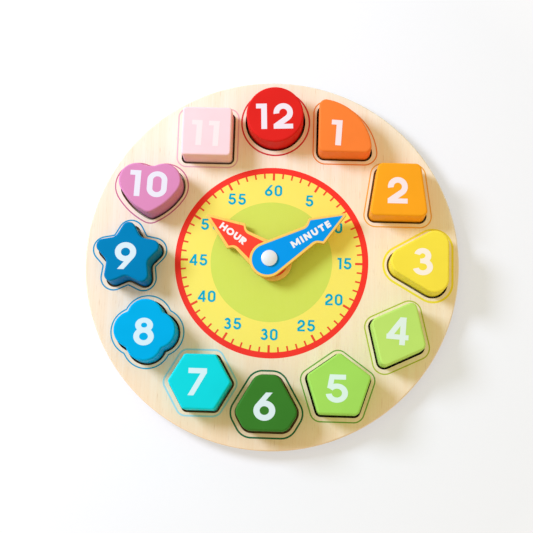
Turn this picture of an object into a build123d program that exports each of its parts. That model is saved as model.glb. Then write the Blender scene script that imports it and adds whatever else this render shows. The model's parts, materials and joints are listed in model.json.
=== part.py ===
from build123d import *
import os
from math import acos, cos, degrees, radians, sin, sqrt

# Wooden teaching clock with lift-out number blocks, in millimetres.
# It lies on its back: +Z points up out of the face and 12 o'clock points along +Y.
# The origin is the centre of the underside.

# Board: a pierced face sheet glued to a plain back sheet
face_thickness = 5.0
back_thickness = 4.0
rim_round = 0.8
rim_margin = 6.7  # wood between the rim and the widest block
web = 7.4  # wood between the widest blocks on the hour circle

# What all the number blocks share
block_proud = 16.0  # height above the face
block_edge_round = 1.2
seat_play = 1.2  # gap all round between a block and its cut-out

# Plan sizes of the number blocks
circle_diameter = 33.6
quarter_width = 31.3
quarter_height = 32.3
quarter_corner = 4.0
trapezium_base = 33.8
trapezium_top = 24.7
trapezium_height = 31.4
trapezium_corner = 3.5
triangle_side = 47.8
triangle_corner = 8.0
rhombus_side = 27.9
rhombus_angle = 78.0  # the acute angle, at both ends of the long diagonal
rhombus_tilt = 64.4  # the long diagonal's angle from +X
rhombus_corner = 3.5
pentagon_radius = 19.3
pentagon_corner = 2.6
cut_triangle_long_side = 24.0
cut_triangle_short_side = 12.4
cut_triangle_corner = 6.0
hexagon_flats = 31.3
hexagon_corner = 2.2
lobe_radius = 10.6
lobe_offset = 7.25
lobe_blend = 1.8
star_radius = 23.25
star_valley_radius = 12.4
star_tip_round = 4.0
star_valley_round = 5.0
heart_lobe_radius = 10.2
heart_lobe_offset = 8.1
heart_lobe_rise = 4.6
heart_lobe_end = 33.0  # where the lobe runs into the side, in degrees below +X
heart_drop = 15.0
heart_notch_round = 10.0
heart_tip_round = 4.0
square_side = 29.2
square_corner = 2.2

# Hands: plywood arrows, measured from the pivot; the round hub sits a little behind it
hand_thickness = 3.5
hand_edge_round = 0.3
hand_tip_round = 0.9
hand_barb_round = 0.7
hand_notch_round = 3.5
hour_clock_angle = 304.5  # clockwise from 12 o'clock, as the hands were left
hour_length = 47.3  # to the tip's sharp corner
hour_barb_reach = 24.1
hour_barb_width = 18.3
hour_waist_reach = 21.4
hour_waist_width = 12.4
hour_hub_radius = 10.9
hour_hub_setback = 2.7
minute_clock_angle = 58.0
minute_length = 53.4
minute_barb_reach = 31.7
minute_barb_width = 17.6
minute_waist_reach = 28.4
minute_waist_width = 11.8
minute_hub_radius = 10.4
minute_hub_setback = 1.3

# Pivot: a flanged tube through both sheets and both hands, closed by a domed cap
pivot_x = -1.0  # its hole was drilled a little off the dial's centre
pivot_y = 0.3
barrel_radius = 3.5
barrel_bore_radius = 2.0
barrel_flange_radius = 8.0
barrel_flange_thickness = 1.5
flange_recess = 0.3  # how far the flange lies inside the underside
board_hole_clearance = 0.1
turning_clearance = 0.06
cap_radius = 4.65
cap_height = 2.0
cap_edge = 1.0
cap_stem_length = 12.0
cap_stem_clearance = 0.03
hand_end_play = 0.1
spacer_thickness = 2.0
spacer_radius = 8.0
washer_thickness = 1.0
washer_radius = 7.5

# Heights worked out from the sheets and the stack of hands
face_height = back_thickness + face_thickness
block_height = face_thickness + block_proud
spacer_base = face_height
hour_hand_base = spacer_base + spacer_thickness
washer_base = hour_hand_base + hand_thickness
minute_hand_base = washer_base + washer_thickness
barrel_top = minute_hand_base + hand_thickness + hand_end_play

os.makedirs("parts", exist_ok=True)

# Block outlines, each drawn about its own seat centre
with BuildSketch() as circle_outline:
    Circle(circle_diameter / 2)

with BuildSketch() as quarter_outline:
    half_wide = quarter_width / 2
    half_high = quarter_height / 2
    bulge = Vector(quarter_width, quarter_height) * sqrt(0.5)
    with BuildLine():
        Line((-half_wide, -half_high), (half_wide, -half_high))
        ThreePointArc(
            (half_wide, -half_high), Vector(-half_wide, -half_high) + bulge, (-half_wide, half_high)
        )
        Line((-half_wide, half_high), (-half_wide, -half_high))
    make_face()
    fillet(quarter_outline.vertices(), quarter_corner)

with BuildSketch() as trapezium_outline:
    with BuildLine():
        Polyline(
            (-trapezium_base / 2, -trapezium_height / 2),
            (trapezium_base / 2, -trapezium_height / 2),
            (trapezium_top / 2, trapezium_height / 2),
            (-trapezium_top / 2, trapezium_height / 2),
            close=True,
        )
    make_face()
    fillet(trapezium_outline.vertices(), trapezium_corner)

with BuildSketch() as triangle_outline:
    RegularPolygon(triangle_side / sqrt(3), 3, rotation=180)
    fillet(triangle_outline.vertices(), triangle_corner)

with BuildSketch() as rhombus_outline:
    long_reach = rhombus_side * cos(radians(rhombus_angle / 2))
    short_reach = rhombus_side * sin(radians(rhombus_angle / 2))
    with BuildLine(Plane.XY.rotated((0, 0, rhombus_tilt))):
        Polyline((long_reach, 0), (0, short_reach), (-long_reach, 0), (0, -short_reach), close=True)
    make_face()
    fillet(rhombus_outline.vertices(), rhombus_corner)

with BuildSketch() as pentagon_outline:
    RegularPolygon(pentagon_radius, 5, rotation=90)
    fillet(pentagon_outline.vertices(), pentagon_corner)

# An equilateral triangle, point up, with its three tips cut off by a second one
with BuildSketch() as cut_triangle_outline:
    whole_side = cut_triangle_long_side + 2 * cut_triangle_short_side
    tip_cut = cut_triangle_short_side * sqrt(3) / 2
    RegularPolygon(whole_side / sqrt(3), 3, rotation=90)
    RegularPolygon(
        whole_side / sqrt(3) - tip_cut, 3, major_radius=False, rotation=-90, mode=Mode.INTERSECT
    )
    fillet(cut_triangle_outline.vertices(), cut_triangle_corner)

with BuildSketch() as hexagon_outline:
    RegularPolygon(hexagon_flats / 2, 6, major_radius=False)
    fillet(hexagon_outline.vertices(), hexagon_corner)

with BuildSketch() as quatrefoil_outline:
    with PolarLocations(lobe_offset, 4):
        Circle(lobe_radius)
    fillet(quatrefoil_outline.vertices(), lobe_blend)

with BuildSketch() as star_outline:
    tip_count = 5
    with BuildLine():
        Polyline(
            *[
                Vector(0, star_valley_radius if corner % 2 else star_radius).rotate(
                    Axis.Z, corner * 180 / tip_count
                )
                for corner in range(2 * tip_count)
            ],
            close=True,
        )
    make_face()
    fillet(star_outline.vertices().sort_by_distance((0, 0))[-tip_count:], star_tip_round)
    fillet(star_outline.vertices().sort_by_distance((0, 0))[:tip_count], star_valley_round)

# A heart: two lobes that run on in flatter arcs to the tip
with BuildSketch() as heart_outline:
    notch_rise = heart_lobe_rise + sqrt(heart_lobe_radius**2 - heart_lobe_offset**2)
    lobe_centre = Vector(heart_lobe_offset, heart_lobe_rise)
    lobe_end = lobe_centre + Vector(heart_lobe_radius, 0).rotate(Axis.Z, -heart_lobe_end)
    lobe_top = lobe_centre + Vector(0, heart_lobe_radius)
    with BuildLine():
        lobe = ThreePointArc((0, notch_rise), lobe_top, lobe_end)
        TangentArc(lobe_end, (0, -heart_drop), tangent=lobe % 1)
        mirror(about=Plane.YZ)
    make_face()
    fillet(heart_outline.vertices().sort_by(Axis.Y)[0], heart_tip_round)
    fillet(heart_outline.vertices().sort_by_distance((0, notch_rise))[0], heart_notch_round)

with BuildSketch() as square_outline:
    RectangleRounded(square_side, square_side, square_corner)

# Each hour's block: name, outline, and how far its seat lies off the even hour circle
blocks = {
    1: ("block_01_quarter_round", quarter_outline.sketch, (-1.0, 6.0)),
    2: ("block_02_trapezium", trapezium_outline.sketch, (-0.35, -0.6)),
    3: ("block_03_triangle", triangle_outline.sketch, (3.45, 0.05)),
    4: ("block_04_rhombus", rhombus_outline.sketch, (0.25, 0.3)),
    5: ("block_05_pentagon", pentagon_outline.sketch, (-1.9, 0.7)),
    6: ("block_06_cut_triangle", cut_triangle_outline.sketch, (0.1, 0.2)),
    7: ("block_07_hexagon", hexagon_outline.sketch, (4.3, 1.2)),
    8: ("block_08_quatrefoil", quatrefoil_outline.sketch, (2.9, -1.4)),
    9: ("block_09_star", star_outline.sketch, (2.1, -0.3)),
    10: ("block_10_heart", heart_outline.sketch, (1.65, -3.3)),
    11: ("block_11_square", square_outline.sketch, (2.6, 0.6)),
    12: ("block_12_circle", circle_outline.sketch, (-0.15, 0.4)),
}

# The hour circle leaves one web between the widest blocks, and the board is cut round it
hours = len(blocks)
hour_step = 360 / hours
block_sizes = [outline.bounding_box().size for _, outline, _ in blocks.values()]
widest_block = max(max(size.X, size.Y) for size in block_sizes)
hour_circle_radius = (widest_block + web) / 2 / sin(radians(hour_step / 2))
board_radius = hour_circle_radius + widest_block / 2 + rim_margin
print("board diameter", round(2 * board_radius, 2), "hour circle radius", round(hour_circle_radius, 2))


def seat(hour, offset_from_circle, height):
    """The plane of a block's seat, upright like the number on it, at the given height."""
    on_circle = Vector(0, hour_circle_radius).rotate(Axis.Z, -hour * hour_step)
    return Plane(on_circle + Vector(*offset_from_circle, height))


def at_pivot(height):
    """The level plane centred on the pivot at the given height."""
    return Plane((pivot_x, pivot_y, height))


# Number blocks, standing on the back sheet in the face sheet's cut-outs
for hour, (name, outline, offset_from_circle) in blocks.items():
    with BuildPart() as block:
        with BuildSketch(seat(hour, offset_from_circle, back_thickness)):
            add(outline)
        extrude(amount=block_height)
        fillet(block.faces().filter_by(Axis.Z).edges(), block_edge_round)
    block.part.label = name
    export_step(block.part, f"parts/{name}.step")

# Face sheet: the cut-outs go right through it
with BuildPart() as face_board:
    with BuildSketch(Plane.XY.offset(back_thickness)):
        Circle(board_radius)
    extrude(amount=face_thickness)
    fillet(face_board.faces().sort_by(Axis.Z)[-1].edges(), rim_round)
    with BuildSketch(at_pivot(back_thickness)):
        Circle(barrel_radius + board_hole_clearance)
    extrude(amount=face_thickness, mode=Mode.SUBTRACT)
    for hour, (name, outline, offset_from_circle) in blocks.items():
        with BuildSketch(seat(hour, offset_from_circle, back_thickness)):
            add(outline)
            offset(amount=seat_play)
        extrude(amount=face_thickness, mode=Mode.SUBTRACT)
face_board.part.label = "face_board"
export_step(face_board.part, "parts/face_board.step")

# Back sheet: the floor of the cut-outs, with a rear counterbore for the pivot's flange
flange_pocket_depth = flange_recess + barrel_flange_thickness
with BuildPart() as back_board:
    with BuildSketch():
        Circle(board_radius)
    extrude(amount=back_thickness)
    fillet(back_board.faces().sort_by(Axis.Z)[0].edges(), rim_round)
    with BuildSketch(at_pivot(0)):
        Circle(barrel_flange_radius + board_hole_clearance)
    extrude(amount=flange_pocket_depth, mode=Mode.SUBTRACT)
    with BuildSketch(at_pivot(flange_pocket_depth)):
        Circle(barrel_radius + board_hole_clearance)
    extrude(amount=back_thickness - flange_pocket_depth, mode=Mode.SUBTRACT)
back_board.part.label = "back_board"
export_step(back_board.part, "parts/back_board.step")

# Pivot barrel: the rear flange and the tube that the hands turn on
with BuildPart() as pivot_barrel:
    with BuildSketch(at_pivot(flange_recess)):
        Circle(barrel_flange_radius)
    extrude(amount=barrel_flange_thickness)
    with BuildSketch(at_pivot(flange_recess)):
        Circle(barrel_radius)
    extrude(amount=barrel_top - flange_recess)
    with BuildSketch(at_pivot(flange_recess)):
        Circle(barrel_bore_radius)
    extrude(amount=barrel_top - flange_recess, mode=Mode.SUBTRACT)
pivot_barrel.part.label = "pivot_barrel"
export_step(pivot_barrel.part, "parts/pivot_barrel.step")

# Pivot cap: a domed head on a stem that is glued into the barrel
with BuildPart() as pivot_cap:
    stem_radius = barrel_bore_radius - cap_stem_clearance
    dome_rise = cap_height - cap_edge
    dome_radius = (cap_radius**2 + dome_rise**2) / (2 * dome_rise)
    with BuildSketch(Plane((pivot_x, pivot_y, barrel_top), x_dir=(1, 0, 0), z_dir=(0, -1, 0))):
        with BuildLine():
            Polyline(
                (0, cap_height),
                (0, -cap_stem_length),
                (stem_radius, -cap_stem_length),
                (stem_radius, 0),
                (cap_radius, 0),
                (cap_radius, cap_edge),
            )
            RadiusArc((cap_radius, cap_edge), (0, cap_height), -dome_radius)
        make_face()
    revolve(axis=Axis((pivot_x, pivot_y, 0), (0, 0, 1)))
pivot_cap.part.label = "pivot_cap"
export_step(pivot_cap.part, "parts/pivot_cap.step")

# The spacer under the hour hand and the washer between the hands
rings = {
    "hand_spacer": (spacer_base, spacer_radius, spacer_thickness),
    "hand_washer": (washer_base, washer_radius, washer_thickness),
}
for name, (base, radius, thickness) in rings.items():
    with BuildPart() as ring:
        with BuildSketch(at_pivot(base)):
            Circle(radius)
            Circle(barrel_radius + turning_clearance, mode=Mode.SUBTRACT)
        extrude(amount=thickness)
    ring.part.label = name
    export_step(ring.part, f"parts/{name}.step")

# Hands: length, barb and waist corners, hub radius and setback, clock angle and base height
hands = {
    "hour_hand": (
        hour_length,
        Vector(hour_barb_reach, hour_barb_width / 2),
        Vector(hour_waist_reach, hour_waist_width / 2),
        hour_hub_radius,
        hour_hub_setback,
        hour_clock_angle,
        hour_hand_base,
    ),
    "minute_hand": (
        minute_length,
        Vector(minute_barb_reach, minute_barb_width / 2),
        Vector(minute_waist_reach, minute_waist_width / 2),
        minute_hub_radius,
        minute_hub_setback,
        minute_clock_angle,
        minute_hand_base,
    ),
}
for name, (length, barb, waist, hub_radius, setback, clock_angle, base) in hands.items():
    # The shaft's sides leave the round hub along its tangents
    hub_centre = Vector(-setback, 0)
    to_waist = waist - hub_centre
    tangent_turn = degrees(acos(hub_radius / to_waist.length))
    hub_end = hub_centre + (to_waist.normalized() * hub_radius).rotate(Axis.Z, tangent_turn)
    hub_back = hub_centre - Vector(hub_radius, 0)
    with BuildSketch() as arrow:
        with BuildLine():
            Polyline((length, 0), barb, waist, hub_end)
            TangentArc(hub_end, hub_back, tangent=hub_end - waist)
            mirror(about=Plane.XZ)
        make_face()
        fillet(arrow.vertices().sort_by(Axis.X)[-1], hand_tip_round)
        fillet(arrow.vertices().sort_by(Axis.X)[-4:-2], hand_barb_round)
        fillet(arrow.vertices().sort_by(Axis.X)[2:4], hand_notch_round)
    with BuildPart() as hand:
        with BuildSketch(at_pivot(base).rotated((0, 0, 90 - clock_angle))):
            add(arrow.sketch)
        extrude(amount=hand_thickness)
        fillet(hand.faces().filter_by(Axis.Z).edges(), hand_edge_round)
        with BuildSketch(at_pivot(base)):
            Circle(barrel_radius + turning_clearance)
        extrude(amount=hand_thickness, mode=Mode.SUBTRACT)
    hand.part.label = name
    export_step(hand.part, f"parts/{name}.step")
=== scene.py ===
import json
from math import acos, atan2, cos, hypot, pi, radians, sin

import bmesh
import bpy
from mathutils import Matrix, Vector
from mathutils.geometry import delaunay_2d_cdt


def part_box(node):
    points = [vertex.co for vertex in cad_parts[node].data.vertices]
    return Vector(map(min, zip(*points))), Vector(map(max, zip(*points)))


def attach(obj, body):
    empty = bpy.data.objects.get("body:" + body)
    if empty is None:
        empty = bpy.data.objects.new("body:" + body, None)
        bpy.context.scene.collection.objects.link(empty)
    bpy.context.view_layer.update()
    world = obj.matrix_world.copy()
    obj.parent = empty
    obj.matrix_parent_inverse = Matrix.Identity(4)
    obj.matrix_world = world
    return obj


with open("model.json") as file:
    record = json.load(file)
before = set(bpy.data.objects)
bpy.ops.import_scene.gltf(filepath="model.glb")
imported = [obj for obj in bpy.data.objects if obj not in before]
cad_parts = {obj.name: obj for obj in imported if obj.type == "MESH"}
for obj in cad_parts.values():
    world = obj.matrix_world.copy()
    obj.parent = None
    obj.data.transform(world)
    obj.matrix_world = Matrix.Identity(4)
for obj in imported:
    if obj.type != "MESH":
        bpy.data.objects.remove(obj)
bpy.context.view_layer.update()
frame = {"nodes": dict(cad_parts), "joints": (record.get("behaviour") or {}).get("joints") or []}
nodes = frame["nodes"]


# Back board
# A plain round sheet of pale lime plywood, sawn out and glued behind the face board. It is left
# bare and closes the cut-outs from below.
mm = 0.001
seat_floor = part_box("back_board")[1].z
back_plies = 3
bare_relief = 0.012 * mm


def srgb(red, green, blue):
    """A colour given the way a paint chart gives it, as the linear colour a material takes."""
    parts = [c / 255 for c in (red, green, blue)]
    return *[c / 12.92 if c <= 0.04045 else ((c + 0.055) / 1.055) ** 2.4 for c in parts], 1.0


def new_look(name, takes, gives):
    """An empty node group with its sockets, and the two nodes at its ends."""
    look = bpy.data.node_groups.new(name, "ShaderNodeTree")
    for title, kind in takes:
        look.interface.new_socket(title, in_out="INPUT", socket_type=kind)
    for title, kind in gives:
        look.interface.new_socket(title, in_out="OUTPUT", socket_type=kind)
    return look, look.nodes.new("NodeGroupInput"), look.nodes.new("NodeGroupOutput")


def give(look, end, **sockets):
    """Links a look's finished colours and values to what the look gives."""
    for title, socket in sockets.items():
        look.links.new(socket, end.inputs[title])


def node(tree, kind, links=None, **settings):
    """One node with its settings, and its inputs linked or set by name or number."""
    made = tree.nodes.new("ShaderNode" + kind)
    for title, value in settings.items():
        setattr(made, title, value)
    for title, value in (links or {}).items():
        if isinstance(value, bpy.types.NodeSocket):
            tree.links.new(value, made.inputs[title])
        else:
            made.inputs[title].default_value = value
    return made


def blend(tree, amount, first, second, mode="MIX"):
    """Two colours mixed by an amount; a mixer of colours takes sockets 0, 6 and 7 and gives socket 2."""
    sockets = {0: amount, 6: first, 7: second}
    return node(tree, "Mix", sockets, data_type="RGBA", blend_type=mode).outputs[2]


def sums(tree, operation, *values):
    """One step of arithmetic on sockets and numbers."""
    return node(tree, "Math", dict(enumerate(values)), operation=operation).outputs[0]


def ease(tree, value, start, end):
    """How far a value has come from a start to an end, from 0 to 1."""
    return node(tree, "MapRange", {"Value": value, "From Min": start, "From Max": end}).outputs[0]


def noise(tree, place, scale=1.0, **settings):
    """A cloudy texture, as values about the middle of 0 to 1."""
    return node(tree, "TexNoise", {"Vector": place, "Scale": scale, **settings}).outputs["Fac"]


def stretch(tree, place, scale):
    """The place on the object, stretched so that a texture runs along the grain."""
    return node(tree, "Mapping", {"Vector": place, "Scale": scale}).outputs["Vector"]


# Grain runs up the clock: long fibres, soft growth bands and short darker pores.
fibre_run = (1500, 28, 900)
band_run = (210, 5, 120)
pore_run = (1900, 130, 1900)
surface = (("Colour", "NodeSocketColor"), ("Roughness", "NodeSocketFloat"), ("Relief", "NodeSocketFloat"))
wood_look, wood_in, wood_out = new_look(
    "Plywood",
    (("Place", "NodeSocketVector"), ("Facing", "NodeSocketVector"), ("Pale", "NodeSocketColor"),
     ("Tan", "NodeSocketColor"), ("Edge", "NodeSocketColor"), ("Ply", "NodeSocketFloat")),
    (*surface, ("Side", "NodeSocketFloat")))
place, pale, tan, edge = [wood_in.outputs[title] for title in ("Place", "Pale", "Tan", "Edge")]
fibres = noise(wood_look, stretch(wood_look, place, fibre_run), Detail=4.0, Roughness=0.6)
bands = noise(wood_look, stretch(wood_look, place, band_run), Detail=3.0, Distortion=0.3)
pores = noise(wood_look, stretch(wood_look, place, pore_run), Detail=1.0)
fibre_tone = ease(wood_look, fibres, 0.3, 0.72)
band_tone = ease(wood_look, bands, 0.32, 0.7)
pore_tone = ease(wood_look, pores, 0.66, 0.8)
grain = sums(wood_look, "MULTIPLY_ADD", band_tone, 0.5, sums(wood_look, "MULTIPLY", fibre_tone, 0.5))
pore_stain = sums(wood_look, "MULTIPLY", pore_tone, 0.35)
flat_tone = blend(wood_look, pore_stain, blend(wood_look, grain, pale, tan), edge)

# On a sawn edge every other ply shows its darker end grain, with a line of glue between plies.
height = node(wood_look, "SeparateXYZ", {"Vector": place}).outputs["Z"]
layer = sums(wood_look, "DIVIDE", height, wood_in.outputs["Ply"])
pair_of_plies = sums(wood_look, "FRACT", sums(wood_look, "MULTIPLY", layer, 0.5))
odd_ply = sums(wood_look, "GREATER_THAN", pair_of_plies, 0.5)
off_middle = sums(wood_look, "ABSOLUTE", sums(wood_look, "SUBTRACT", sums(wood_look, "FRACT", layer), 0.5))
clear_of_glue = sums(wood_look, "LESS_THAN", off_middle, 0.44)
end_grain = sums(wood_look, "MULTIPLY_ADD", odd_ply, 0.5, sums(wood_look, "MULTIPLY", fibre_tone, 0.3))
edge_tone = blend(wood_look, clear_of_glue, edge, blend(wood_look, end_grain, tan, edge))
upright = node(wood_look, "SeparateXYZ", {"Vector": wood_in.outputs["Facing"]}).outputs["Z"]
side = ease(wood_look, sums(wood_look, "ABSOLUTE", upright), 0.45, 0.25)
tone = blend(wood_look, side, flat_tone, edge_tone)
roughness = sums(wood_look, "MULTIPLY_ADD", grain, 0.16, 0.42)
relief = sums(wood_look, "SUBTRACT", sums(wood_look, "MULTIPLY", fibre_tone, 0.6), pore_tone)
give(wood_look, wood_out, Colour=tone, Roughness=roughness, Relief=relief, Side=side)


def dressed(name, look, relief_depth, takes, **constants):
    """A material whose colour, roughness and relief come from a shared look; the rest is set here."""
    material = bpy.data.materials.new(name)
    material.use_nodes = True
    tree = material.node_tree
    shader = tree.nodes["Principled BSDF"]
    at = node(tree, "TexCoord")
    group = tree.nodes.new("ShaderNodeGroup")
    group.node_tree = look
    group.name = "Look"
    tree.links.new(at.outputs["Object"], group.inputs["Place"])
    if "Facing" in group.inputs:
        tree.links.new(at.outputs["Normal"], group.inputs["Facing"])
    for title, value in takes.items():
        group.inputs[title].default_value = value
    bump = node(tree, "Bump", {"Height": group.outputs["Relief"], "Strength": 1.0,
                               "Distance": relief_depth})
    tree.links.new(group.outputs["Colour"], shader.inputs["Base Color"])
    tree.links.new(group.outputs["Roughness"], shader.inputs["Roughness"])
    tree.links.new(bump.outputs["Normal"], shader.inputs["Normal"])
    for title, value in constants.items():
        shader.inputs[title.replace("_", " ")].default_value = value
    return material


def dress(name, material):
    """Puts a material on a part of the built clock."""
    nodes[name].data.materials.clear()
    nodes[name].data.materials.append(material)


back_wood = dressed("Back plywood", wood_look, bare_relief,
                    {"Pale": srgb(244, 222, 190), "Tan": srgb(226, 194, 148), "Edge": srgb(176, 128, 78),
                     "Ply": seat_floor / back_plies})
dress("back_board", back_wood)


# Face board
# The thicker round sheet, lacquered, its colour a little paler and cooler towards one o'clock. A burning
# beam cut its twelve holes and charred their walls. Their black is partly that char and partly painted
# shade for the deep gaps round the blocks. A few walls at 2 and 3 are left pale, so those gaps take
# less painted shade. The sawn, rounded rim is pale.
rim_width = 1.5 * mm
board_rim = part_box("face_board")[1].x - rim_width
face_ply = 1.0 * mm
lacquer_relief = 0.008 * mm
less_shade_middle = (62 * mm, 24 * mm, 0)
less_shade_reach = 38 * mm
less_shade_facing = 0.2
drift_way = (0.53, 0.85, 0)
drift_reach = 110 * mm
drift_tints = ((1.0, 0.925, 0.89, 1), (1.0, 1.09, 1.2, 1))


def measured(tree, operation, *places):
    """A length, a distance or a dot product of places on the object."""
    return node(tree, "VectorMath", dict(enumerate(places)), operation=operation).outputs["Value"]


face_wood = dressed("Face plywood", wood_look, lacquer_relief,
                    {"Pale": srgb(254, 239, 218), "Tan": srgb(249, 225, 192), "Edge": srgb(190, 140, 84),
                     "Ply": face_ply}, Coat_Weight=0.25, Coat_Roughness=0.25)
tree = face_wood.node_tree
face_look = tree.nodes["Look"]
at = node(tree, "TexCoord")
flattened = node(tree, "VectorMath", {0: at.outputs["Object"], 1: (1, 1, 0)}, operation="MULTIPLY")
flat_place = flattened.outputs["Vector"]
inside = sums(tree, "LESS_THAN", measured(tree, "LENGTH", flat_place), board_rim)
# The black on the cut walls is partly char and partly painted shade for the gaps. A few walls at 2 and 3 are
# left pale, so those gaps take less painted shade.
cut_wall = sums(tree, "MULTIPLY", inside, face_look.outputs["Side"])
near_less_shade = sums(tree, "LESS_THAN", measured(tree, "DISTANCE", flat_place, less_shade_middle), less_shade_reach)
rightward = node(tree, "SeparateXYZ", {"Vector": at.outputs["Normal"]}).outputs["X"]
less_shaded_walls = sums(tree, "MULTIPLY", near_less_shade, sums(tree, "GREATER_THAN", rightward, less_shade_facing))
char_and_shade = sums(tree, "SUBTRACT", cut_wall, sums(tree, "MULTIPLY", cut_wall, less_shaded_walls))
smoke = noise(tree, at.outputs["Object"], 600.0, Detail=2.0)
char_shade_tone = blend(tree, smoke, srgb(14, 7, 4), srgb(40, 22, 12))
# The wood's colour drifts across the board: paler and cooler towards one o'clock, warmer towards seven.
drift = ease(tree, measured(tree, "DOT_PRODUCT", at.outputs["Object"], drift_way), -drift_reach, drift_reach)
drifted_wood = blend(tree, 1.0, face_look.outputs["Colour"], blend(tree, drift, *drift_tints), "MULTIPLY")
shown = blend(tree, char_and_shade, drifted_wood, char_shade_tone)
tree.links.new(shown, tree.nodes["Principled BSDF"].inputs["Base Color"])
dress("face_board", face_wood)


# Printed dial
# Screen-printed straight on the face board in several passes of opaque ink: a red ring, a yellow
# minute track with sixty red strokes, a lime disc, and blue minute numbers from 5 to 60.
face_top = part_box("face_board")[1].z
ink_key = 0.02 * mm
ink_film = 0.03 * mm
second_pass = 0.02 * mm
ink_relief = 0.008 * mm
disc_radius = 35.8 * mm
ring_inner_radius = 53.4 * mm
ring_outer_radius = 56.95 * mm
ring_steps = 180
minute_stroke_inner = 50.5 * mm
five_stroke_inner = 49.2 * mm
minute_stroke_width = 1.0 * mm
five_stroke_width = 1.35 * mm
minute_number_radius = 43.0 * mm
minute_number_height = 6.8
minute_number_pen = 1.35
minute_number_narrowing = 0.88
minute_number_gap = 0.17
fifty_gap = 0.34
fifty_shift = 0.7 * mm
pen_turn_step = 7
fewest_turn_steps = 8
cut_tolerance = 1e-7
weld = 1e-6
triangles_inside = 1

ink_look, ink_in, ink_out = new_look(
    "Printed ink",
    (("Place", "NodeSocketVector"), ("Ink", "NodeSocketColor"), ("Thin", "NodeSocketColor")), surface)
place = ink_in.outputs["Place"]
ink_fibres = noise(ink_look, stretch(ink_look, place, fibre_run), Detail=4.0, Roughness=0.6)
ink_patches = noise(ink_look, place, 160.0, Detail=2.0)
show_through = sums(ink_look, "MULTIPLY", sums(ink_look, "ADD", ink_fibres, ink_patches), 0.22)
ink_tone = blend(ink_look, show_through, ink_in.outputs["Ink"], ink_in.outputs["Thin"])
ink_rough = sums(ink_look, "MULTIPLY_ADD", ink_patches, 0.2, 0.38)
give(ink_look, ink_out, Colour=ink_tone, Roughness=ink_rough, Relief=ink_fibres)


def ink(name, tint, thin):
    """Opaque ink; the wood's fibres show through a little as its thin tint."""
    return dressed(name, ink_look, ink_relief, {"Ink": srgb(*tint), "Thin": srgb(*thin)},
                   Specular_IOR_Level=0.06)


def keep(name, shape, material, body):
    """Keeps a finished shape as a piece that rides on a body."""
    mesh = bpy.data.meshes.new(name)
    shape.to_mesh(mesh)
    shape.free()
    piece = bpy.data.objects.new(name, mesh)
    bpy.context.scene.collection.objects.link(piece)
    mesh.materials.append(material)
    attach(piece, body)


def film(sheet, top, lift=0.0):
    """Thickens a flat sheet into a film of ink keyed into the surface it is printed on."""
    bmesh.ops.translate(sheet, verts=sheet.verts, vec=(0, 0, top - ink_key))
    raised = bmesh.ops.extrude_face_region(sheet, geom=sheet.faces[:])["geom"]
    upper = [part for part in raised if isinstance(part, bmesh.types.BMVert)]
    bmesh.ops.translate(sheet, verts=upper, vec=(0, 0, ink_key + ink_film + lift))
    bmesh.ops.recalc_face_normals(sheet, faces=sheet.faces)
    return sheet


def printed_band(inner, outer):
    """A flat ring, spun from one edge."""
    sheet = bmesh.new()
    ends = [sheet.verts.new((radius, 0, 0)) for radius in (inner, outer)]
    bmesh.ops.spin(sheet, geom=[*ends, sheet.edges.new(ends)], cent=(0, 0, 0), axis=(0, 0, 1),
                   angle=2 * pi, steps=ring_steps, use_merge=True)
    return sheet


def turned(sheet, angle, points=None, centre=(0, 0, 0)):
    """Turns a flat sheet, or only some of its points, anticlockwise by an angle in degrees."""
    turn = Matrix.Rotation(radians(angle), 3, "Z")
    bmesh.ops.rotate(sheet, cent=centre, matrix=turn, verts=points or sheet.verts)


ring_red = ink("Ring red ink", (250, 55, 48), (248, 70, 58))
keep("dial_ring", film(printed_band(ring_inner_radius, ring_outer_radius), face_top), ring_red, "board")
track_yellow = ink("Track yellow ink", (250, 235, 106), (250, 238, 130))
keep("dial_track", film(printed_band(disc_radius, ring_inner_radius), face_top), track_yellow, "board")
lime_disc = bmesh.new()
bmesh.ops.create_circle(lime_disc, cap_ends=True, segments=ring_steps, radius=disc_radius)
disc_lime = ink("Disc lime ink", (210, 227, 92), (218, 231, 118))
keep("dial_disc", film(lime_disc, face_top), disc_lime, "board")

strokes = bmesh.new()
for minute in range(60):
    inner, wide = minute_stroke_inner, minute_stroke_width
    if minute % 5 == 0:
        inner, wide = five_stroke_inner, five_stroke_width
    drawn = bmesh.ops.create_grid(strokes, x_segments=1, y_segments=1, size=0.5)["verts"]
    bmesh.ops.scale(strokes, vec=(wide, ring_inner_radius - inner, 1), verts=drawn)
    bmesh.ops.translate(strokes, vec=(0, (ring_inner_radius + inner) / 2, 0), verts=drawn)
    turned(strokes, -6 * minute, drawn)
stroke_red = ink("Stroke red ink", (238, 74, 52), (240, 104, 70))
keep("dial_strokes", film(strokes, face_top, second_pass), stroke_red, "board")


def pen_line(sheet, start, end, pen):
    """A straight stroke of a square-ended pen."""
    start, end = Vector((*start, 0)), Vector((*end, 0))
    across = (end - start).cross((0, 0, 1)).normalized() * pen / 2
    nib = sheet.edges.new([sheet.verts.new(start - across), sheet.verts.new(start + across)])
    drawn = bmesh.ops.extrude_edge_only(sheet, edges=[nib])["geom"]
    far_end = [part for part in drawn if isinstance(part, bmesh.types.BMVert)]
    bmesh.ops.translate(sheet, vec=end - start, verts=far_end)


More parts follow.
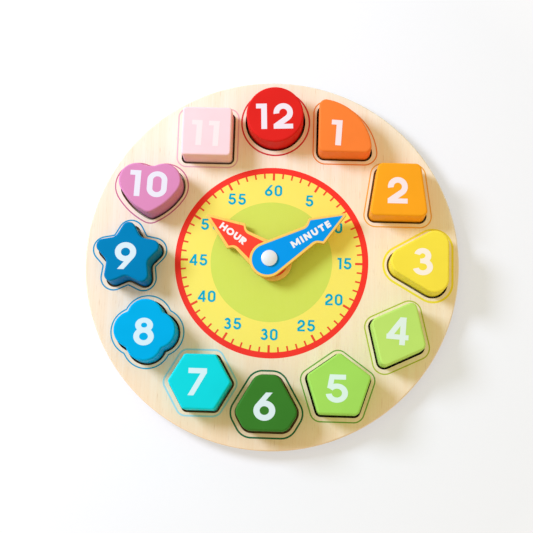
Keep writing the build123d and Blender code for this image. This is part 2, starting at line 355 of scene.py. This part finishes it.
def pen_turn(sheet, centre, across, up, pen, start=0, sweep=360):
    """A stroke round an oval whose outside is across by up, from one angle through a sweep."""
    before = set(sheet.verts)
    nib = [sheet.verts.new((across - inset, 0, 0)) for inset in (pen, 0)]
    edge = sheet.edges.new(nib)
    turned(sheet, start, nib)
    steps = max(fewest_turn_steps, round(abs(sweep) / pen_turn_step))
    bmesh.ops.spin(sheet, geom=[*nib, edge], cent=(0, 0, 0), axis=(0, 0, 1), angle=radians(sweep),
                   steps=steps, use_merge=abs(sweep) == 360)
    drawn = [v for v in sheet.verts if v not in before]
    bmesh.ops.scale(sheet, vec=(1, up / across, 1), verts=drawn)
    bmesh.ops.translate(sheet, vec=(*centre, 0), verts=drawn)
    return drawn


def every_part(sheet):
    """All corners, edges and faces of a sheet."""
    return [*sheet.verts, *sheet.edges, *sheet.faces]


def trimmed(sheet, wide, tall):
    """Cuts a drawn figure off square at the lines it stands between."""
    for edge, outward in (((0, 0), (0, -1)), ((0, tall), (0, 1)), ((0, 0), (-1, 0)), ((wide, 0), (1, 0))):
        bmesh.ops.bisect_plane(sheet, geom=every_part(sheet), dist=cut_tolerance,
                               plane_co=(*edge, 0), plane_no=(*outward, 0), clear_outer=True)


figure_widths = {"0": 0.76, "1": 0.41, "2": 0.735, "3": 0.73, "4": 0.79, "5": 0.79, "6": 0.78, "7": 0.68,
                 "8": 0.74, "9": 0.78}


def figure(digit, tall, pen, narrowing):
    """One figure of a plain round-bowled alphabet, drawn by shares of its own width, height and pen."""
    sheet = bmesh.new()
    wide = figure_widths[digit] * tall * narrowing
    middle = wide / 2
    bar = 0.86 * pen
    if digit == "0":
        bow = 0.45 * wide
        oval = pen_turn(sheet, (middle, tall / 2), middle, bow, pen)
        for way in (1, -1):
            half = [v for v in oval if way * (v.co.y - tall / 2) > weld]
            bmesh.ops.translate(sheet, vec=(0, way * (tall / 2 - bow), 0), verts=half)
    elif digit == "1":
        pen_line(sheet, (wide - pen / 2, 0), (wide - pen / 2, tall), pen)
        pen_line(sheet, (0, tall - bar / 2), (wide, tall - bar / 2), bar)
    elif digit == "2":
        rise, hook, slant = tall - middle, 188, 54
        pen_turn(sheet, (middle, rise), middle, middle, pen, hook, -hook - slant)
        over, down = cos(radians(slant)), sin(radians(slant))
        leave = Vector((middle, rise)) + Vector((over, -down)) * (middle - pen / 2)
        pen_line(sheet, leave, leave + Vector((-down, -over)) * (leave.y - 0.4 * pen) / over, pen)
        pen_line(sheet, (0, bar / 2), (wide, bar / 2), bar)
    elif digit == "3":
        waist, sweep = 0.525 * tall, -255
        upper, lower = (tall - waist + 0.45 * pen) / 2, (waist + 0.42 * pen) / 2
        pen_turn(sheet, (0.49 * wide, tall - upper), 0.425 * wide, upper, pen, -90 - sweep, sweep)
        pen_turn(sheet, (middle, lower), middle, lower, pen, 90, sweep)
        pen_line(sheet, (0.37 * wide, waist), (0.52 * wide, waist), 0.8 * pen)
    elif digit == "4":
        stem, rung, elbow = 0.73 * wide, 0.28 * tall, 0.42 * pen
        pen_line(sheet, (stem, 0), (stem, tall), 0.95 * pen)
        pen_line(sheet, (0, rung), (wide, rung), 0.85 * pen)
        slope = Vector((stem - elbow, tall - rung)).normalized()
        pen_line(sheet, (elbow, rung), Vector((stem, tall)) + slope * pen, 0.9 * pen)
    elif digit == "5":
        low, lid, neck = 0.34 * tall, 0.84 * pen, 0.9 * pen
        pen_turn(sheet, (middle, low), middle, low, pen, 146, -319)
        pen_line(sheet, (0.17 * wide, tall - lid / 2), (0.9 * wide, tall - lid / 2), lid)
        pen_line(sheet, (0.17 * wide + neck / 2, tall), (0.06 * wide + neck / 2, 0.5 * tall), neck)
    elif digit in "69":
        up, lean = 0.46 * wide, Vector((1, 1.2)).normalized()
        pen_turn(sheet, (middle, up), middle, up, 1.05 * pen)
        across_bowl, up_bowl = middle - bar / 2, up - bar / 2
        reach = Vector((across_bowl * lean.y, up_bowl * lean.x))
        touch = Vector((-across_bowl * reach.x, up_bowl * reach.y)) / reach.length
        leave = Vector((middle, up)) + touch
        pen_line(sheet, leave, leave + lean * tall, bar)
    elif digit == "7":
        lid = 0.88 * pen
        pen_line(sheet, (0, tall - lid / 2), (wide, tall - lid / 2), lid)
        foot, head = Vector((0.5 * pen, 0)), Vector((wide - 0.09 * pen, tall))
        lean = (head - foot).normalized()
        pen_line(sheet, foot - lean * pen, head + lean * pen, 0.87 * pen)
    elif digit == "8":
        upper, lower = 0.268 * tall, 0.323 * tall
        pen_turn(sheet, (middle, tall - upper), 0.436 * wide, upper, pen)
        pen_turn(sheet, (middle, lower), middle, lower, pen)
    trimmed(sheet, wide, tall)
    if digit == "9":
        turned(sheet, 180, centre=(middle, tall / 2, 0))
    return sheet, wide


def fused(sheet):
    """The same flat sheet with no face lying on another, where strokes cross."""
    sheet.verts.index_update()
    sheet.normal_update()
    bmesh.ops.reverse_faces(sheet, faces=[face for face in sheet.faces if face.normal.z < 0])
    spots = [v.co.to_2d() for v in sheet.verts]
    outlines = [[v.index for v in face.verts] for face in sheet.faces]
    spots, _, parts, _, _, sources = delaunay_2d_cdt(spots, [], outlines, triangles_inside, weld)
    whole = bmesh.new()
    corners = [whole.verts.new((*spot, 0)) for spot in spots]
    for part, source in zip(parts, sources):
        if source:
            whole.faces.new([corners[i] for i in part])
    bmesh.ops.delete(whole, geom=[v for v in whole.verts if not v.link_faces], context="VERTS")
    bmesh.ops.recalc_face_normals(whole, faces=whole.faces)
    sheet.free()
    return whole


def joined(sheets):
    """Several flat sheets as one."""
    whole = bmesh.new()
    for sheet in sheets:
        loose = bpy.data.meshes.new("loose")
        sheet.to_mesh(loose)
        sheet.free()
        whole.from_mesh(loose)
        bpy.data.meshes.remove(loose)
    return whole


def number(text, tall, pen, gap, narrowing=1.0):
    """A number of drawn figures, given in mm, its middle on the origin, as a flat sheet in metres."""
    figures, along = [], 0.0
    for digit in text:
        sheet, wide = figure(digit, tall, pen, narrowing)
        bmesh.ops.translate(sheet, vec=(along, 0, 0), verts=sheet.verts)
        along += wide + gap * tall
        figures.append(sheet)
    whole = fused(joined(figures))
    bmesh.ops.translate(whole, vec=(-(along - gap * tall) / 2, -tall / 2, 0), verts=whole.verts)
    bmesh.ops.scale(whole, vec=(mm, mm, mm), verts=whole.verts)
    return whole


# The 50 is spread a little wider than the rest, so that its last figure lies under the hour hand.
minute_numbers = []
for hour in range(1, 13):
    gap, along = (fifty_gap, fifty_shift) if hour == 10 else (minute_number_gap, 0.0)
    sheet = number(str(5 * hour), minute_number_height, minute_number_pen, gap, minute_number_narrowing)
    turn = radians(30 * hour)
    spot = (minute_number_radius * sin(turn) + along, minute_number_radius * cos(turn), 0)
    bmesh.ops.translate(sheet, verts=sheet.verts, vec=spot)
    minute_numbers.append(sheet)
number_blue = ink("Number blue ink", (0, 170, 210), (12, 182, 208))
keep("dial_numbers", film(joined(minute_numbers), face_top, second_pass), number_blue, "board")


# Printed outlines of the cut-outs
# One thin line round each cut-out, printed in the colour of the block that belongs there, so a
# child can match them. The print sits a little off the cut-outs, as screen print does.
line_distance = 3.5 * mm
line_thinness = 0.3
nearly_straight = radians(0.2)
clover_centre = (-70.71 * mm, -43.9 * mm)
clover_lobe_radius = 13.2 * mm
clover_lobe_offset = 7.25 * mm
clover_corner = 1.6 * mm
clover_line_distance = 0.9 * mm
# Each line's tint, how far it is off to the right and up, and its width, in mm.
outline_prints = {
    "block_01_quarter_round": ((236, 134, 52), (0.55, 0.15), 0.75),
    "block_02_trapezium": ((238, 170, 62), (0.5, 0.0), 0.75),
    "block_03_triangle": ((242, 226, 52), (0.4, 0.05), 1.25),
    "block_04_rhombus": ((176, 190, 44), (0.35, -0.4), 0.75),
    "block_05_pentagon": ((108, 164, 56), (-0.2, -0.35), 0.75),
    "block_06_cut_triangle": ((4, 98, 58), (-0.2, -0.25), 1.0),
    "block_07_hexagon": ((160, 214, 228), (-0.8, 0.3), 1.0),
    "block_08_quatrefoil": ((0, 152, 192), (-0.35, 0.35), 0.8),
    "block_09_star": ((0, 144, 190), (-0.85, 0.6), 0.85),
    "block_10_heart": ((196, 102, 138), (-0.75, 0.3), 0.75),
    "block_11_square": ((226, 176, 188), (-0.4, 0.4), 0.8),
    "block_12_circle": ((208, 40, 46), (0.15, -0.4), 0.95),
}


def hour_of(name):
    """The two figures in a block's name."""
    return name.split("_")[1]


def block_outline(name):
    """The flat outline of a block, cut across its middle."""
    sheet = bmesh.new()
    sheet.from_mesh(nodes[name].data)
    bmesh.ops.remove_doubles(sheet, verts=sheet.verts, dist=weld)
    foot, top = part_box(name)
    middle = (foot.z + top.z) / 2
    bmesh.ops.bisect_plane(sheet, geom=every_part(sheet), dist=cut_tolerance, plane_co=(0, 0, middle),
                           plane_no=(0, 0, 1), clear_inner=True, clear_outer=True)
    bmesh.ops.dissolve_limit(sheet, angle_limit=nearly_straight, verts=sheet.verts, edges=sheet.edges)
    bmesh.ops.contextual_create(sheet, geom=sheet.edges[:])
    bmesh.ops.translate(sheet, verts=sheet.verts, vec=(0, 0, -middle))
    return sheet


def clover_outline(centre, lobe_radius, lobe_offset, corner):
    """Four round lobes that meet in softened corners: one lobe spun, then turned to the other sides."""
    sheet = bmesh.new()
    meet = (lobe_offset + (2 * lobe_radius**2 - lobe_offset**2) ** 0.5) / 2
    half = atan2(meet, meet - lobe_offset)
    first = sheet.verts.new((lobe_offset + lobe_radius * cos(half), -lobe_radius * sin(half), 0))
    bmesh.ops.spin(sheet, geom=[first], cent=(lobe_offset, 0, 0), axis=(0, 0, 1), angle=2 * half, steps=32)
    bmesh.ops.spin(sheet, geom=every_part(sheet), cent=(0, 0, 0), axis=(0, 0, 1), angle=1.5 * pi,
                   steps=3, use_duplicate=True)
    bmesh.ops.remove_doubles(sheet, verts=sheet.verts, dist=weld)
    bmesh.ops.contextual_create(sheet, geom=sheet.edges[:])
    inner = [v for v in sheet.verts if abs(abs(v.co.x) - abs(v.co.y)) < weld]
    bmesh.ops.bevel(sheet, geom=inner, affect="VERTICES", offset=corner, offset_type="OFFSET", segments=6,
                    profile=0.5, material=-1)
    bmesh.ops.translate(sheet, vec=(*centre, 0), verts=sheet.verts)
    return sheet


def grown(sheet, distance):
    """Grows a flat sheet outwards; gives its faces, and the band between its old edge and its new one."""
    faces = sheet.faces[:]
    bmesh.ops.recalc_face_normals(sheet, faces=faces)
    band = bmesh.ops.inset_region(sheet, faces=faces, thickness=-distance, use_even_offset=True,
                                  use_boundary=True)["faces"]
    return faces, band


def line_round(sheet, distance, wide):
    """Leaves only a line of a given width, running outside the sheet's edge at a distance."""
    _, band = grown(sheet, distance - wide / 2)
    bmesh.ops.delete(sheet, geom=band, context="FACES")
    faces, _ = grown(sheet, wide)
    bmesh.ops.delete(sheet, geom=faces, context="FACES")
    return sheet


for name, (tint, shift, wide) in outline_prints.items():
    if name == "block_08_quatrefoil":
        clover = clover_outline(clover_centre, clover_lobe_radius, clover_lobe_offset, clover_corner)
        sheet = line_round(clover, clover_line_distance, wide * mm)
    else:
        sheet = line_round(block_outline(name), line_distance, wide * mm)
    bmesh.ops.translate(sheet, verts=sheet.verts, vec=(shift[0] * mm, shift[1] * mm, 0))
    line_ink = ink(f"Outline ink {hour_of(name)}", tint, [c + (255 - c) * line_thinness for c in tint])
    keep(f"outline_{hour_of(name)}", film(sheet, face_top), line_ink, "board")


# Painted shade in the cut-outs
# A thin dark film on the back board, in the gap round each block, paints the shade that lies deep in
# the gap. It runs from black to tan from shape to shape, and in a few it fades to a pale tan above a given
# height.
seat_gap = 1.2 * mm
film_clearance = 0.05 * mm
film_fade = 1.5 * mm
pale_film_tint = (250, 226, 188)
all_round = 110
# Each painted shade's tint, and the height up the clock, in mm, above which it fades to pale tan.
gap_shade_tints = {
    "block_01_quarter_round": ((6, 4, 3), all_round),
    "block_02_trapezium": ((6, 4, 3), 27.5),
    "block_03_triangle": ((6, 4, 3), -5),
    "block_04_rhombus": ((10, 7, 5), -34),
    "block_05_pentagon": ((40, 27, 16), -66),
    "block_06_cut_triangle": ((190, 146, 100), all_round),
    "block_07_hexagon": ((168, 126, 84), all_round),
    "block_08_quatrefoil": ((84, 58, 36), all_round),
    "block_11_square": ((130, 94, 60), all_round),
    "block_12_circle": ((6, 4, 3), all_round),
}

# Each film is painted shade along the foot of the walls, in the gap round its block.
for name, (dark_film_tint, fade_height) in gap_shade_tints.items():
    sheet = line_round(block_outline(name), seat_gap / 2, seat_gap - 2 * film_clearance)
    painted_gap_shade = ink(f"Painted gap shade {hour_of(name)}", dark_film_tint, dark_film_tint)
    tree = painted_gap_shade.node_tree
    upward = node(tree, "SeparateXYZ", {"Vector": node(tree, "TexCoord").outputs["Object"]}).outputs["Y"]
    fade_up = ease(tree, upward, fade_height * mm - film_fade, fade_height * mm + film_fade)
    shade_film_tone = blend(tree, fade_up, srgb(*dark_film_tint), srgb(*pale_film_tint))
    tree.links.new(shade_film_tone, tree.nodes["Look"].inputs["Ink"])
    keep(f"scorch_{hour_of(name)}", film(sheet, seat_floor), painted_gap_shade, "board")


# Number blocks
# Twelve blocks sawn from 21 mm board, sanded round the edges and sprayed with satin paint, each a
# different shape and colour. They stand loose in their cut-outs and lift straight out.
block_colours = {
    "block_01_quarter_round": (250, 132, 59),
    "block_02_trapezium": (254, 171, 37),
    "block_03_triangle": (251, 232, 76),
    "block_04_rhombus": (192, 233, 118),
    "block_05_pentagon": (165, 226, 101),
    "block_06_cut_triangle": (58, 125, 46),
    "block_07_hexagon": (18, 217, 232),
    "block_08_quatrefoil": (0, 172, 235),
    "block_09_star": (0, 125, 184),
    "block_10_heart": (215, 137, 187),
    "block_11_square": (255, 214, 225),
    "block_12_circle": (223, 38, 35),
}
paint_depth = 0.012 * mm
paint_run = (900, 60, 200)

paint_look, paint_in, paint_out = new_look(
    "Satin paint",
    (("Place", "NodeSocketVector"), ("Paint", "NodeSocketColor")), surface)
place = paint_in.outputs["Place"]
paint_cloud = noise(paint_look, place, 70.0, Detail=2.0)
paint_grain = noise(paint_look, stretch(paint_look, place, paint_run), Detail=3.0)
paint_peel = noise(paint_look, place, 900.0, Detail=1.0)
brighter = node(paint_look, "MapRange", {"Value": paint_cloud, "To Min": 0.94, "To Max": 1.05}).outputs[0]
painted = node(paint_look, "HueSaturation", {"Value": brighter, "Color": paint_in.outputs["Paint"]})
paint_rough = sums(paint_look, "MULTIPLY_ADD", paint_cloud, 0.18, 0.32)
paint_relief = sums(paint_look, "MULTIPLY_ADD", paint_grain, 0.7, paint_peel)
give(paint_look, paint_out, Colour=painted.outputs[0], Roughness=paint_rough, Relief=paint_relief)

for name, colour in block_colours.items():
    paint = dressed(f"Paint {hour_of(name)}", paint_look, paint_depth, {"Paint": srgb(*colour)},
                    Specular_IOR_Level=0.03)
    dress(name, paint)


# Numbers on the blocks
# The hours 1 to 12, pad-printed in heavy white figures on the flat tops of the blocks, slightly
# off the middle and some a few degrees askew.
hour_pen = 3.35
hour_gap = 0.25
hour_wear = 0.08
# Each number's middle in mm, its turn in degrees, its height in mm and its white.
hour_prints = {
    "block_01_quarter_round": ((36.15, 74.95), -3, 15.3, (246, 230, 241)),
    "block_02_trapezium": ((72.3, 41.2), 0, 15.6, (251, 236, 247)),
    "block_03_triangle": ((87.05, -0.4), 0, 15.8, (255, 247, 242)),
    "block_04_rhombus": ((73.25, -40.6), -3.5, 15.8, (228, 248, 248)),
    "block_05_pentagon": ((39.5, -74.15), 0, 15.8, (222, 250, 249)),
    "block_06_cut_triangle": ((-0.9, -85.4), 0, 15.8, (220, 241, 254)),
    "block_07_hexagon": ((-39.2, -72.65), 0, 15.4, (212, 241, 255)),
    "block_08_quatrefoil": ((-70.9, -45.1), 0, 15.8, (210, 235, 251)),
    "block_09_star": ((-83.8, -1.5), 0, 15.8, (214, 231, 244)),
    "block_10_heart": ((-72.65, 41.4), -2, 15.5, (228, 227, 243)),
    "block_11_square": ((-40.75, 72.9), -2, 15.2, (241, 230, 236)),
    "block_12_circle": ((-0.35, 84.1), 2.5, 15.5, (240, 232, 248)),
}

for name, (centre, askew, tall, white) in hour_prints.items():
    sheet = number(str(int(hour_of(name))), tall, hour_pen, hour_gap)
    turned(sheet, askew)
    bmesh.ops.translate(sheet, verts=sheet.verts, vec=(centre[0] * mm, centre[1] * mm, 0))
    worn = [above + (below - above) * hour_wear for above, below in zip(white, block_colours[name])]
    figure_ink = ink(f"Figure ink {hour_of(name)}", white, worn)
    keep(f"number_{hour_of(name)}", film(sheet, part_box(name)[1].z), figure_ink, name)


# Pivot barrel, spacer and washer
# The turned white barrel goes through both boards and carries the hands; a ring of natural plastic
# keeps the hour hand off the dial and a thinner one keeps the two hands apart.
plastic_relief = 0.004 * mm
plastic_look, plastic_in, plastic_out = new_look(
    "Moulded plastic",
    (("Place", "NodeSocketVector"), ("Tint", "NodeSocketColor"), ("Deep", "NodeSocketColor")), surface)
place = plastic_in.outputs["Place"]
plastic_cloud = noise(plastic_look, place, 260.0)
plastic_skin = noise(plastic_look, place, 2500.0)
plastic_tone = blend(plastic_look, plastic_cloud, plastic_in.outputs["Tint"], plastic_in.outputs["Deep"])
plastic_rough = sums(plastic_look, "MULTIPLY_ADD", plastic_cloud, 0.15, 0.22)
give(plastic_look, plastic_out, Colour=plastic_tone, Roughness=plastic_rough, Relief=plastic_skin)
white_plastic = dressed("White plastic", plastic_look, plastic_relief,
                        {"Tint": srgb(238, 241, 248), "Deep": srgb(226, 230, 240)}, Subsurface_Weight=0.05)
natural_plastic = dressed("Natural plastic", plastic_look, plastic_relief,
                          {"Tint": srgb(226, 224, 212), "Deep": srgb(208, 204, 190)}, Subsurface_Weight=0.1)
dress("pivot_barrel", white_plastic)
dress("hand_spacer", natural_plastic)
dress("hand_washer", natural_plastic)


# Hour and minute hands
# Two arrows cut from thin plywood by a burning beam, so their edges are an orange brown. A coloured
# field is printed on each, short of the edge, with a plain word saying which hand it is.
hand_ply = 1.17 * mm
hour_angle = 304.5
minute_angle = 58.0
hour_arrow = {"tip": 43.2 * mm, "barb": (24.2 * mm, 7.4 * mm), "waist": (21.4 * mm, 4.6 * mm),
              "hub": 8.45 * mm, "setback": 2.7 * mm, "notch": 2.2 * mm}
minute_arrow = {"tip": 49.8 * mm, "barb": (31.95 * mm, 7.24 * mm), "waist": (28.2 * mm, 4.3 * mm),
                "hub": 9.0 * mm, "setback": 1.3 * mm, "notch": 2.2 * mm}
word_pen = 1.2 * mm
hour_word_height = 4.2 * mm
hour_word_length = 17.9 * mm
hour_word_middle = 26.4 * mm
minute_word_height = 4.1 * mm
minute_word_length = 25.7 * mm
minute_word_middle = 28.0 * mm
letter_widths = {"E": 0.68, "H": 0.94, "I": 0.29, "M": 1.26, "N": 0.98, "O": 1.14, "R": 0.86, "T": 0.82,
                 "U": 0.92}

hour_turn = next(joint for joint in frame["joints"] if joint["name"] == "hour_turn")
pivot = Vector((*hour_turn["pos_m"][:2], 0))
# The hands' bare wood is yellower than the face board's: partly its own tone, partly a painted reflection of
# the yellow dial.
reflecting_hand_wood = dressed("Hand wood with painted reflection", wood_look, lacquer_relief,
                    {"Pale": srgb(254, 212, 106), "Tan": srgb(247, 196, 84), "Edge": srgb(206, 126, 36),
                     "Ply": hand_ply}, Coat_Weight=0.25, Coat_Roughness=0.25)
dress("hour_hand", reflecting_hand_wood)
dress("minute_hand", reflecting_hand_wood)


def arrow_field(tip, barb, waist, hub, setback, notch):
    """The flat field of an arrow along X from the pivot: the hub spun, one side drawn, then mirrored."""
    sheet = bmesh.new()
    to_waist = Vector((waist[0] + setback, waist[1]))
    leave = atan2(to_waist.y, to_waist.x) + acos(hub / to_waist.length)
    start = sheet.verts.new((hub * cos(leave) - setback, hub * sin(leave), 0))
    bmesh.ops.spin(sheet, geom=[start], cent=(-setback, 0, 0), axis=(0, 0, 1), angle=pi - leave, steps=24)
    drawn = [sheet.verts.new((*spot, 0)) for spot in ((tip, 0), barb, waist)] + [start]
    for one, other in zip(drawn, drawn[1:]):
        sheet.edges.new((one, other))
    bmesh.ops.mirror(sheet, geom=every_part(sheet), axis="Y", merge_dist=weld)
    bmesh.ops.remove_doubles(sheet, verts=sheet.verts, dist=weld)
    bmesh.ops.contextual_create(sheet, geom=sheet.edges[:])
    corners = [v for v in sheet.verts if hypot(v.co.x - waist[0], abs(v.co.y) - waist[1]) < weld]
    bmesh.ops.bevel(sheet, geom=corners, affect="VERTICES", offset=notch, offset_type="OFFSET", segments=8,
                    profile=0.5, material=-1)
    return sheet


def lay_on_hand(sheet, angle):
    """Turns a sheet drawn along X to a hand's clock angle and sets it on the pivot."""
    turned(sheet, 90 - angle)
    bmesh.ops.translate(sheet, verts=sheet.verts, vec=pivot)
    return sheet


def letter(kind, tall, pen):
    """One capital of a plain alphabet, drawn by shares of its own width, height and pen."""
    sheet = bmesh.new()
    wide = letter_widths[kind] * tall
    near, far = pen / 2, wide - pen / 2
    if kind in "EHIMNR":
        pen_line(sheet, (near, 0), (near, tall), pen)
    if kind in "HMN":
        pen_line(sheet, (far, 0), (far, tall), pen)
    if kind == "E":
        for height in (near, tall / 2, tall - near):
            pen_line(sheet, (0, height), (wide, height), 0.9 * pen)
    elif kind == "H":
        pen_line(sheet, (0, tall / 2), (wide, tall / 2), 0.9 * pen)
    elif kind == "M":
        valley = Vector((wide / 2, 0.15 * tall))
        for side in (near, far):
            lean = (valley - Vector((side, tall))).normalized()
            pen_line(sheet, Vector((side, tall)) - lean * pen, valley, 0.8 * pen)
    elif kind == "N":
        lean = Vector((far - near, -tall)).normalized()
        pen_line(sheet, Vector((near, tall)) - lean * pen, Vector((far, 0)) + lean * pen, 0.9 * pen)
    elif kind == "O":
        pen_turn(sheet, (wide / 2, tall / 2), wide / 2, tall / 2, pen)
    elif kind == "R":
        bowl = 0.3 * tall
        pen_turn(sheet, (wide - bowl, tall - bowl), bowl, bowl, pen, 90, -180)
        for height in (tall - near, tall - 2 * bowl + near):
            pen_line(sheet, (0, height), (wide - bowl, height), pen)
        pen_line(sheet, (0.4 * wide, 0.45 * tall), (0.88 * wide, -0.1 * tall), pen)
    elif kind == "T":
        pen_line(sheet, (0, tall - near), (wide, tall - near), pen)
        pen_line(sheet, (wide / 2, 0), (wide / 2, tall), pen)
    elif kind == "U":
        pen_turn(sheet, (wide / 2, wide / 2), wide / 2, wide / 2, pen, 180, 180)
        for side in (near, far):
            pen_line(sheet, (side, wide / 2), (side, tall), pen)
    trimmed(sheet, wide, tall)
    return sheet, wide


def word(text, tall, length, pen):
    """A plain word of drawn capitals spread over a length, its middle on the origin, as a flat sheet."""
    spare = length - sum(letter_widths[kind] for kind in text) * tall
    letters, along = [], -length / 2
    for kind in text:
        sheet, wide = letter(kind, tall, pen)
        bmesh.ops.translate(sheet, vec=(along, -tall / 2, 0), verts=sheet.verts)
        along += wide + spare / (len(text) - 1)
        letters.append(sheet)
    return fused(joined(letters))


# The word on the hour hand is turned round, so that it reads from the left.
hour_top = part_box("hour_hand")[1].z
hour_red = ink("Hour red ink", (246, 66, 50), (244, 88, 66))
hour_field = lay_on_hand(arrow_field(**hour_arrow), hour_angle)
keep("hour_field", film(hour_field, hour_top), hour_red, "hour_hand")
word_white = ink("Word white ink", (246, 244, 250), (240, 240, 248))
hour_word = word("HOUR", hour_word_height, hour_word_length, word_pen)
turned(hour_word, 180)
bmesh.ops.translate(hour_word, verts=hour_word.verts, vec=(hour_word_middle, 0, 0))
keep("hour_word", film(lay_on_hand(hour_word, hour_angle), hour_top, second_pass), word_white, "hour_hand")

minute_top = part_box("minute_hand")[1].z
minute_blue = ink("Minute blue ink", (0, 152, 244), (6, 160, 244))
minute_field = lay_on_hand(arrow_field(**minute_arrow), minute_angle)
keep("minute_field", film(minute_field, minute_top), minute_blue, "minute_hand")
minute_word = word("MINUTE", minute_word_height, minute_word_length, word_pen)
bmesh.ops.translate(minute_word, verts=minute_word.verts, vec=(minute_word_middle, 0, 0))
keep("minute_word", film(lay_on_hand(minute_word, minute_angle), minute_top, second_pass), word_white,
     "minute_hand")


# Pivot cap
# A white moulded head with a low dome, pressed into the barrel; it keeps the hands on.
dress("pivot_cap", white_plastic)


# Floor, light and camera
# A white table under the clock that glows as painted light. The glow is dim and bluish near the clock,
# so that its shadow shows, and full white far off. There is one soft cool lamp from the upper left,
# an even warm room that shows as white, and a camera above the six o'clock side that looks down on the dial.
floor_drop = 0.05 * mm
floor_radius = 6.0
floor_relief = 0.001 * mm
floor_tint = (0.69, 0.63, 0.60, 1)
floor_deep = (0.68, 0.62, 0.59, 1)
glow_start = 0.2
glow_end = 0.9
near_glow = (0.27, 0.36, 0.46, 1)
full_white = (1, 1, 1, 1)
lamp_way = Vector((-1.12, 0.55, 1.0)).normalized()
lamp_distance = 0.85
lamp_size = 0.3
lamp_power = 5.22
lamp_tint = (0.825, 1.0, 1.34)
room_light = (0.698, 0.585, 0.345, 1)
camera_place = (0.01679, -0.11285, 0.64285)
camera_turn = (9.884, 1.473, 1.554)
camera_lens = 73.91
camera_sensor = 36

floor_shape = bmesh.new()
bmesh.ops.create_circle(floor_shape, cap_ends=True, segments=96, radius=floor_radius,
                        matrix=Matrix.Translation((0, 0, -floor_drop)))
floor_mesh = bpy.data.meshes.new("floor")
floor_shape.to_mesh(floor_mesh)
floor_shape.free()
floor = bpy.data.objects.new("floor", floor_mesh)
bpy.context.scene.collection.objects.link(floor)
floor_paint = dressed("Floor white", plastic_look, floor_relief, {"Tint": floor_tint, "Deep": floor_deep},
                      Specular_IOR_Level=0.0, Emission_Strength=1.0)
floor_tree = floor_paint.node_tree
# The table's glow is painted light: dim and bluish near the clock, full white far off.
far_off = measured(floor_tree, "LENGTH", node(floor_tree, "TexCoord").outputs["Object"])
glow = blend(floor_tree, ease(floor_tree, far_off, glow_start, glow_end), near_glow, full_white)
floor_tree.links.new(glow, floor_tree.nodes["Principled BSDF"].inputs["Emission Color"])
floor_mesh.materials.append(floor_paint)

lamp_light = bpy.data.lights.new("lamp", "AREA")
lamp_light.shape = "DISK"
lamp_light.size = lamp_size
lamp_light.energy = lamp_power
lamp_light.color = lamp_tint
lamp = bpy.data.objects.new("lamp", lamp_light)
lamp.location = lamp_way * lamp_distance
lamp.rotation_euler = lamp_way.to_track_quat("Z", "Y").to_euler()
bpy.context.scene.collection.objects.link(lamp)

room = bpy.data.worlds.new("room")
room.use_nodes = True
room_tree = room.node_tree
seen = node(room_tree, "LightPath").outputs["Is Camera Ray"]
room_tone = blend(room_tree, seen, room_light, full_white)
room_tree.links.new(room_tone, room_tree.nodes["Background"].inputs["Color"])
bpy.context.scene.world = room

lens = bpy.data.cameras.new("camera")
lens.sensor_width = camera_sensor
lens.lens = camera_lens
camera = bpy.data.objects.new("camera", lens)
camera.location = camera_place
camera.rotation_mode = "YXZ"
camera.rotation_euler = [radians(turn) for turn in camera_turn]
bpy.context.scene.collection.objects.link(camera)
bpy.context.scene.camera = camera
bpy.context.scene.view_settings.view_transform = "Standard"
